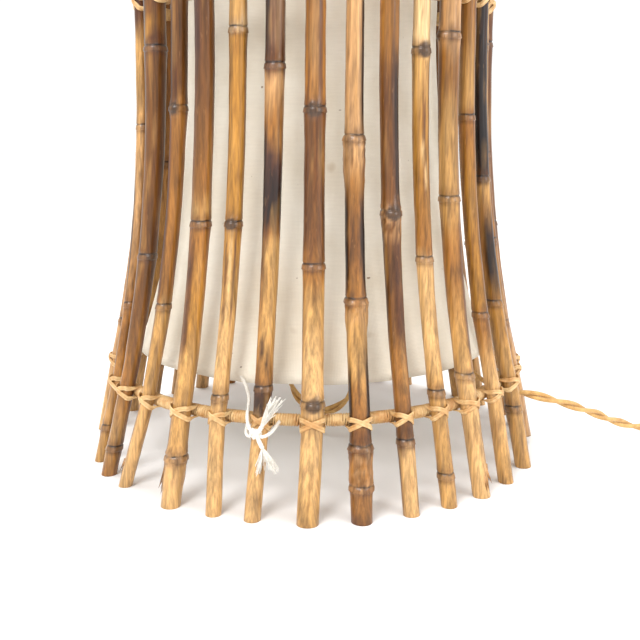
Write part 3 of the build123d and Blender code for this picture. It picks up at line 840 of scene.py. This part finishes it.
def wind(strips, radius, z, wire, start, end):
    """The strip's turns round the hoop between two lashings."""
    length = math.radians(end - start) * radius
    if length < WRAP_W * 0.8:
        return
    turns = max(1, round(length / WRAP_PITCH))
    steps = 12 * turns
    r = wire + WRAP_T * 0.6
    points, outs = [], []
    for i in range(steps + 1):
        t = i / steps
        a = lerp(start, end, t)
        outward = polar(1, a)
        turn = 2 * math.pi * turns * t
        direction = outward * math.cos(turn) + Vector((0, 0, 1)) * math.sin(turn)
        ripple = 1 + 0.05 * noise.noise(Vector((a * 2, z * 50, turn / 6)))
        points.append(outward * radius + Vector((0, 0, z)) + direction * r * ripple)
        outs.append(direction)
    strips.sweep(points, frames_along(points, outs), wrap_section())


# ---- shade ----
CLOTH_AROUND = 288
CLOTH_ROWS = 90
CLOTH_THICK = 0.6 * MM
CLOTH_MEAN_R = 95 * MM
HEM_REACH = 35 * MM
RING_REACH = 9 * MM
FOLD_IN, CRUMPLE_IN, HEM_IN = 1.1 * MM, 0.6 * MM, 2.0 * MM
HEM_WAVE = 1.2 * MM
HEM_WAVE_HEIGHT = 40 * MM
HEM_W, HEM_T = 7.5 * MM, 0.35 * MM
TIE_PULL = 1.2 * MM
TIE_PULL_DEGREES = 3.2
TIE_ANGLES = (-19, 103, 193)


def cloth_profile():
    """Outer radius of the shade at each height where the CAD mesh has vertices."""
    rows = {}
    for v in NODES["shade_cloth"].data.vertices:
        z = round(v.co.z, 4)
        rows[z] = max(rows.get(z, 0), math.hypot(v.co.x, v.co.y))
    z = np.array(sorted(rows))
    r = np.array([rows[k] for k in z])
    return z, r


def cloth_radius(profile, z):
    """The outer radius: the arc through the hem, the waist and the other hem."""
    heights, radii = profile
    middle = (heights[0] + heights[-1]) / 2
    half = (heights[-1] - heights[0]) / 2
    waist = radii[np.abs(heights - middle).argmin()]
    sag = radii[0] - waist
    bend = (half * half + sag * sag) / (2 * sag)
    return waist + bend - math.sqrt(bend * bend - (z - middle) ** 2)


def make_cloth():
    low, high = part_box("shade_cloth")
    profile = cloth_profile()
    verts, uvs, faces = [], [], []
    rows = [low.z + (high.z - low.z) * k / CLOTH_ROWS for k in range(CLOTH_ROWS + 1)]
    middle = (low.z + high.z) / 2
    for z in rows:
        r0 = cloth_radius(profile, z)
        from_hem = min(z - low.z, high.z - z)
        near_hem = math.exp(-from_hem / HEM_REACH)
        near_ring = math.exp(-(min(from_hem, abs(z - middle)) / RING_REACH) ** 2)
        for k in range(CLOTH_AROUND):
            a = 360 * k / CLOTH_AROUND
            sine, cosine = math.sin(math.radians(a)), math.cos(math.radians(a))
            fold = noise.noise(Vector((sine * 5, cosine * 5, z * 3)))
            small = noise.noise(Vector((sine * 16, cosine * 16, z * 9)))
            inward = FOLD_IN * (0.5 + 0.5 * fold) + CRUMPLE_IN * small
            inward += near_hem * HEM_IN * (0.5 + small)
            r = r0 - max(0.0, inward) * lerp(1.0, 0.15, near_ring)
            dz = -HEM_WAVE * fold * near_hem if z - low.z < HEM_WAVE_HEIGHT else 0.0
            for tie in TIE_ANGLES:
                pull = math.exp(-(turn_between(a, tie) / TIE_PULL_DEGREES) ** 2)
                r += TIE_PULL * pull * near_hem
            hem = HEM_T if from_hem < HEM_W else 0.0
            verts.append(polar(r + hem, a, z + max(dz, low.z - z)))
            uvs.append((math.radians(a) * CLOTH_MEAN_R, z))
    for i in range(CLOTH_ROWS):
        for k in range(CLOTH_AROUND):
            n = (k + 1) % CLOTH_AROUND
            a, b = i * CLOTH_AROUND + k, i * CLOTH_AROUND + n
            faces.append((a, b, b + CLOTH_AROUND, a + CLOTH_AROUND))
    obj = new_object("shade_linen", verts, faces, uvs=uvs)
    thick = obj.modifiers.new("thickness", "SOLIDIFY")
    thick.thickness = CLOTH_THICK
    thick.offset = -1
    bake(obj)
    place(obj, CLOTH, "linen", "cage", "shade_cloth")
    return obj


def bake(obj):
    """Applies every modifier on a piece."""
    bpy.context.view_layer.update()
    evaluated = obj.evaluated_get(bpy.context.evaluated_depsgraph_get())
    mesh = bpy.data.meshes.new_from_object(evaluated)
    old = obj.data
    obj.modifiers.clear()
    obj.data = mesh
    bpy.data.meshes.remove(old)


# ---- string ties ----
FIBRE = 0.19 * MM
FINE_FIBRE = 0.16 * MM
STRING_LAY = 5.2 * MM
KNOT_LAY = 5.0 * MM
KNOT_R, KNOT_TURNS, KNOT_STEPS = 1.1 * MM, 2.6, 43
TIE_R, TIE_LAY, TIE_TURNS, TIE_STEPS = 0.95 * MM, 4.6 * MM, 2.1, 25
LOOP_R, LOOP_HALF_W, LOOP_STEPS = 0.9 * MM, 5.6 * MM, 40
LOOP_OVER_HOOP = 1.9 * MM
TOP_TIE_ANGLES = (-16.5, 103, 223)
HEM_MARGIN = 5 * MM


def twisted(builder, line, radius, lay, strands=3):
    """A string of a few strands twisted round each other along a line."""
    frames = frames_along(line)
    run = 0.0
    offsets = []
    for i, p in enumerate(line):
        run += (p - line[i - 1]).length if i else 0.0
        offsets.append(run / lay * 2 * math.pi)
    for s in range(strands):
        points = []
        for p, (side, out), turn in zip(line, frames, offsets):
            a = turn + 2 * math.pi * s / strands
            points.append(p + (side * math.cos(a) + out * math.sin(a)) * radius * 0.52)
        builder.sweep(points, frames_along(points), round_section(radius * 0.52, 7))


def fringe(builder, root, tip, spread, count, thick, seed):
    """A frayed tuft: many fine fibres from a root that fan out and curl towards a tip."""
    run = tip - root
    for k in range(count):
        jitter = Vector([noise.noise(Vector((seed + k * 1.31, c * 7.7, 0.5))) for c in range(3)])
        bend = Vector([noise.noise(Vector((seed + k * 2.17, c * 3.3, 4.5))) for c in range(3)])
        length = 0.72 + 0.5 * (0.5 + noise.noise(Vector((seed + k * 0.77, 9.1, 2.2))))
        end = root + run * length + jitter * spread * 2.0
        mid = root + run * length * 0.5 + jitter * spread * 0.8 + bend * spread * 0.6
        line = smooth_open([root + jitter * 0.0008, mid, end], 6)
        builder.sweep(line, frames_along(line), round_section(thick * (0.7 + 0.6 * abs(bend.x)), 4))


def cage_point(angle, radius, sideways, z):
    return polar(radius * MM, angle, z * MM) + polar(sideways * MM, angle + 90)


def make_front_tie():
    """The string through the hem, knotted over the lashing, with frayed ends up and down."""
    centre, r = cane_at(6, hoop_size("lower_hoop")[2])
    angle = angle_of(centre)
    front = math.hypot(centre.x, centre.y) / MM + r / MM + 2.2
    cloth = cloth_radius(cloth_profile(), 0.073) / MM

    def at(out, sideways, z):
        return cage_point(angle, out, sideways, z)

    knot = at(front + 1.6, -0.4, 49.5)
    fork = at(front + 2.2, 3.2, 41.5)
    strings = [
        # from the hem down to the knot
        (1.15, [at(cloth + 0.6, -17, 73), at(cloth + 5, -13, 69.5), at(124, -10.5, 62.5),
                at(front - 6, -7.6, 56), at(front + 0.4, -4.4, 51.5), knot]),
        # round the cane, out on its left below the lashing and back on its right
        (1.0, [at(front - 10, -8.6, 51), at(front - 3, -7.6, 48), at(front + 0.8, -4.4, 47.4), knot]),
        (1.0, [knot, at(front + 2.6, 3.2, 48.2), at(front + 1, 7.2, 50), at(front - 5, 9, 52),
               at(front - 11, 9.4, 53)]),
        # the thick ends, before they fray
        (1.3, [knot, at(front + 3.2, 1.2, 51), at(front + 3.4, 3.2, 54)]),
        (1.3, [knot, at(front + 2.8, 1.4, 45.8), fork]),
    ]
    builder = Builder()
    for thick, line in strings:
        twisted(builder, smooth_open(line, 8), thick * MM, STRING_LAY)
    wraps = []
    for k in range(KNOT_STEPS + 1):
        t = k / KNOT_STEPS
        a = 2 * math.pi * KNOT_TURNS * t
        wraps.append(knot + polar(1.3 * MM * math.cos(a) + 0.8 * MM, angle)
                     + polar(lerp(-2.3, 2.3, t) * MM, angle + 90)
                     + Vector((0, 0, lerp(2.4, 1.9, t) * math.sin(a) * MM)))
    twisted(builder, wraps, KNOT_R, KNOT_LAY)
    fringe(builder, at(front + 3.2, 2.6, 53), at(front + 4.2, 10.6, 68), 2.6 * MM, 90, FIBRE, 3.0)
    fringe(builder, fork, at(front + 3.2, 1.2, 29), 1.8 * MM, 50, FIBRE, 11.0)
    fringe(builder, fork, at(front + 3.2, 9.2, 31.5), 2.2 * MM, 55, FIBRE, 23.0)
    return place(builder.done("front_tie_string"), STRING, "cotton_string", "cage", "front_tie")


def knot_on_hoop(builder, angle, hoop_node, cloth_z, up):
    """A string from the shade's edge, twice round the hoop, with two short frayed ends."""
    radius, wire, z = hoop_size(hoop_node)
    r = wire + 1.7 * MM
    cloth = cloth_radius(cloth_profile(), cloth_z)
    start = polar(cloth + 0.4 * MM, angle, cloth_z)
    line = [start, lerp(start, polar(radius, angle, z + up * r), 0.5)]
    for k in range(TIE_STEPS + 1):
        t = k / TIE_STEPS
        a = up * (math.pi / 2 + 2 * math.pi * TIE_TURNS * t)
        line.append(polar(radius + r * math.cos(a), angle + 0.9 * (t - 0.5), z + r * math.sin(a)))
    twisted(builder, smooth_open(line, 3), TIE_R, TIE_LAY)
    root = polar(radius + r, angle, z + up * 2 * MM)
    for side, seed in ((-1, 31.0), (1, 47.0)):
        tip = polar(radius + r + 5 * MM, angle + side * 2.4, z + up * 9 * MM)
        fringe(builder, root, tip, 1.6 * MM, 18, FINE_FIBRE, seed + angle)


def make_rear_ties():
    hem_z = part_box("shade_cloth")[0].z + HEM_MARGIN
    builder = Builder()
    for angle in TIE_ANGLES[1:]:
        knot_on_hoop(builder, angle, "lower_hoop", hem_z, 1)
    hang_flex(builder)
    return place(builder.done("rear_tie_strings"), STRING, "cotton_string", "cage", "rear_ties")


def hang_flex(builder):
    """Two turns of string that carry the flex under the hoop."""
    radius, wire, z = hoop_size("lower_hoop")
    flex = flex_point_at(radius)
    top = z + wire + LOOP_OVER_HOOP
    bottom = flex.z - FLEX_D / 2 - LOOP_R
    angle = angle_of(flex)
    across = polar(1, angle + 45)
    points = []
    for k in range(LOOP_STEPS):
        a = 2 * math.pi * k / LOOP_STEPS
        squeeze = math.copysign(abs(math.cos(a)) ** 0.7, math.cos(a))
        points.append(polar(radius, angle, (top + bottom) / 2)
                      + across.cross(Vector((0, 0, 1))) * LOOP_HALF_W * squeeze
                      + Vector((0, 0, (top - bottom) / 2 * math.sin(a))))
    for shift in (-LOOP_R, LOOP_R):
        moved = [p + across * shift for p in points]
        builder.sweep(moved, frames_along(moved, closed=True), round_section(LOOP_R, 7), closed=True)


def make_top_ties():
    hem_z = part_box("shade_cloth")[1].z - HEM_MARGIN
    builder = Builder()
    for angle in TOP_TIE_ANGLES:
        knot_on_hoop(builder, angle, "upper_hoop", hem_z, -1)
    return place(builder.done("top_tie_strings"), STRING, "cotton_string", "cage", "top_ties")


# ---- flex ----
FLEX_D = 6.0 * MM
STRAND_R = 1.5 * MM
TWIST_PITCH = 52 * MM
STRAND_START = (1, 0, 0)
FLOOR_Z = 3.1
COIL_CENTRE = (306, 55)
COIL_R = 35
# The route's points in millimetres, from the cord grip to the coil.
FLEX_ROUTE = [
    (0, 0, 223), (0, 0, 186), (1, 0, 158), (-1, -1, 130), (3, -3, 104), (13, -5, 85),
    (26, -6, 67), (32, -6, 46), (26, -5, 26), (8, -2, 15), (-11, 3, 24), (-18, 7, 44),
    (-13, 11, 65), (2, 13, 81), (23, 12, 88), (45, 5, 85), (65, -6, 76), (83, -18, 66),
    (101, -29, 55), (120, -39, 45.6), (142, -44, 42.5), (164, -41, 36), (187, -30, 26),
    (209, -15, 14), (230, -3, 5.6), (251, 4, FLOOR_Z), (270, 9, FLOOR_Z), (288, 14, FLOOR_Z)]
TAIL_ROUTE = [(347, 51, 13), (348.5, 67, 10), (351, 84, 8.4), (357, 104, 8)]
# Each turn of the coil: where it lies across and up, in flex diameters from the middle.
COIL_LAY = [(1, 0), (0, 0), (-1, 0), (-1, 1), (0, 1), (1, 1), (0.5, 1.9)]
PER_TURN = 16


def coil_points():
    """The coil's turns, each shifting to the next lay over its last quarter."""
    points = []
    start = -90
    lays = COIL_LAY + [(1.0, 1.75)]
    for here, there in zip(COIL_LAY, lays[1:]):
        for k in range(PER_TURN):
            t = smooth_step(0.6, 1.0, k / PER_TURN)
            out = lerp(here[0], there[0], t) * FLEX_D / MM
            up = lerp(here[1], there[1], t) * FLEX_D / MM * 0.97
            a = math.radians(start + 360 * k / PER_TURN)
            r = COIL_R + out
            points.append((COIL_CENTRE[0] + r * math.cos(a), COIL_CENTRE[1] + r * math.sin(a),
                           FLOOR_Z + up))
    r = COIL_R + FLEX_D / MM
    for degrees, up in ((-90, 10.6), (-66, 10.4), (-42, 10.3), (-20, 10.2)):
        a = math.radians(degrees)
        points.append((COIL_CENTRE[0] + r * math.cos(a), COIL_CENTRE[1] + r * math.sin(a), FLOOR_Z + up))
    return points


def route_line():
    """The smooth line of the whole flex, read from a NURBS spline on its points."""
    points = FLEX_ROUTE + coil_points() + TAIL_ROUTE
    curve = bpy.data.curves.new("flex_route", "CURVE")
    curve.dimensions = "3D"
    spline = curve.splines.new("NURBS")
    spline.points.add(len(points) - 1)
    for p, (x, y, z) in zip(spline.points, points):
        p.co = (x * MM, y * MM, z * MM, 1)
    spline.order_u = 3
    spline.use_endpoint_u = True
    spline.resolution_u = 10
    holder = bpy.data.objects.new("flex_route", curve)
    bpy.context.scene.collection.objects.link(holder)
    mesh = bpy.data.meshes.new_from_object(holder)
    line = [v.co.copy() for v in mesh.vertices]
    bpy.data.objects.remove(holder)
    bpy.data.curves.remove(curve)
    bpy.data.meshes.remove(mesh)
    return line


def flex_point_at(radius):
    for a, b in zip(LINE, LINE[1:]):
        ra, rb = math.hypot(a.x, a.y), math.hypot(b.x, b.y)
        if ra <= radius < rb:
            return a.lerp(b, (radius - ra) / (rb - ra))
    raise ValueError("the flex doesn't reach that far")


def make_flex():
    frames = frames_along(LINE, first=STRAND_START)
    builder = Builder()
    offset = FLEX_D / 2 - STRAND_R
    for strand in range(2):
        points = []
        run = 0.0
        for i, p in enumerate(LINE):
            run += (p - LINE[i - 1]).length if i else 0.0
            a = 2 * math.pi * run / TWIST_PITCH + math.pi * strand
            side, out = frames[i]
            points.append(p + (side * math.cos(a) + out * math.sin(a)) * offset)
        builder.sweep(points, frames_along(points, first=STRAND_START), round_section(STRAND_R, 10))
    obj = builder.done("gold_flex")
    place(obj, FLEX, "gold_flex", "cage", "flex", "flex_coil")
    return obj


COIL_TIE_TURNS, COIL_TIE_STEPS = 3, 28
COIL_TIE_R, COIL_TIE_LAY, COIL_TIE_W = 0.62 * MM, 4 * MM, 5.2 * MM


def make_coil_tie():
    """String wound three times round the turns of the coil."""
    low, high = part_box("coil_tie")
    middle = (low + high) / 2
    wide, tall = (high.x - low.x) / 2, (high.z - low.z) / 2
    line = []
    steps = COIL_TIE_TURNS * COIL_TIE_STEPS
    for k in range(steps + 1):
        a = 2 * math.pi * k / COIL_TIE_STEPS
        x = math.copysign(abs(math.cos(a)) ** 0.55, math.cos(a)) * (wide - 0.6 * MM)
        z = math.copysign(abs(math.sin(a)) ** 0.55, math.sin(a)) * (tall - 0.6 * MM)
        z = max(z, low.z + 0.7 * MM - middle.z)
        line.append(middle + Vector((x, (k / steps - 0.5) * COIL_TIE_W, z)))
    builder = Builder()
    twisted(builder, line, COIL_TIE_R, COIL_TIE_LAY)
    return place(builder.done("coil_tie_string"), STRING, "cotton_string", "cage", "coil_tie")


# ---- stage, light and camera ----
FLOOR_HALF = 6.0


def make_stage():
    corners = [(x * FLOOR_HALF, y * FLOOR_HALF, 0) for x, y in ((-1, -1), (1, -1), (1, 1), (-1, 1))]
    floor = new_object("floor", corners, [(0, 1, 2, 3)])
    s = Shader("pale_floor")
    s.set(Base_Color=(0.92, 0.91, 0.90, 1), Roughness=0.8, Specular_IOR_Level=0.2)
    floor.data.materials.append(s.material)
    world = bpy.data.worlds.new("studio")
    bpy.context.scene.world = world
    world.use_nodes = True
    sky = world.node_tree.nodes["Background"]
    sky.inputs["Color"].default_value = (1, 1, 1, 1)
    sky.inputs["Strength"].default_value = 1.1
    view = bpy.context.scene.view_settings
    view.view_transform = "Standard"
    view.look = "None"


# Name, place, what it points at, width and power.
LIGHTS = [
    ("key", (-0.7, -1.3, 1.5), (0, 0, 0.2), 0.9, 24),
    ("fill", (1.3, -1.0, 0.9), (0, 0, 0.2), 1.0, 10),
    ("top", (0.0, 0.4, 2.2), (0, 0, 0.0), 1.4, 22),
]
CAMERA_AT = (0, -0.623, 0.217)
CAMERA_TILT = 12.2
SENSOR_W = 36
LENS = 51.9
CAMERA_SHIFT = 0.012


def make_lights():
    for name, place_at, aim, size, power in LIGHTS:
        light = bpy.data.lights.new(name, "AREA")
        light.shape = "DISK"
        light.size = size
        light.energy = power
        obj = bpy.data.objects.new(name, light)
        obj.location = place_at
        obj.rotation_euler = (Vector(aim) - Vector(place_at)).to_track_quat("-Z", "Y").to_euler()
        bpy.context.scene.collection.objects.link(obj)


def make_camera():
    """The camera looks down at the front by CAMERA_TILT degrees."""
    data = bpy.data.cameras.new("camera")
    data.sensor_width = SENSOR_W
    data.lens = LENS
    data.shift_x = CAMERA_SHIFT
    data.clip_start = 0.01
    camera = bpy.data.objects.new("camera", data)
    camera.location = CAMERA_AT
    camera.rotation_euler = (math.radians(90 - CAMERA_TILT), 0, 0)
    bpy.context.scene.collection.objects.link(camera)
    bpy.context.scene.camera = camera


def paint_cad():
    """Gives every CAD node that stays its own material."""
    wire = moulded_material("white_coated_wire", (226, 222, 212), 0.45, 300).material
    bakelite = moulded_material("black_bakelite", (24, 18, 14), 0.28, 260).material
    glass = moulded_material("frosted_glass", (238, 236, 230), 0.4, 120)
    glass.set(Transmission_Weight=0.35, IOR=1.45)
    plug = moulded_material("gold_moulding", (188, 146, 84), 0.38, 420).material
    nickel = metal_material("nickel", (196, 194, 188), 0.28)
    brass = metal_material("plated_brass", (210, 184, 128), 0.22)
    chosen = {"white_wire": wire, "black_bakelite": bakelite, "frosted_glass": glass.material,
              "gold_plug": plug, "nickel_cap": nickel, "brass_pins": brass, "hoop_cane": hoop_material()}
    for part in frame["record"]["subparts"]:
        material = chosen.get(part["material_slot"])
        node = NODES[part["node"]]
        if material:
            node.data.materials.clear()
            node.data.materials.append(material)


CANE = cane_material()
STRIP = strip_material()
CLOTH = cloth_material()
STRING = string_material()
FLEX = flex_material()
make_camera()
LINE = route_line()
make_coil_tie()
make_flex()
for number in range(1, CANES + 1):
    make_cane(number)
for level in ("lower", "middle", "upper"):
    make_binding(level)
make_cloth()
make_front_tie()
make_rear_ties()
make_top_ties()
paint_cad()
make_stage()
make_lights()
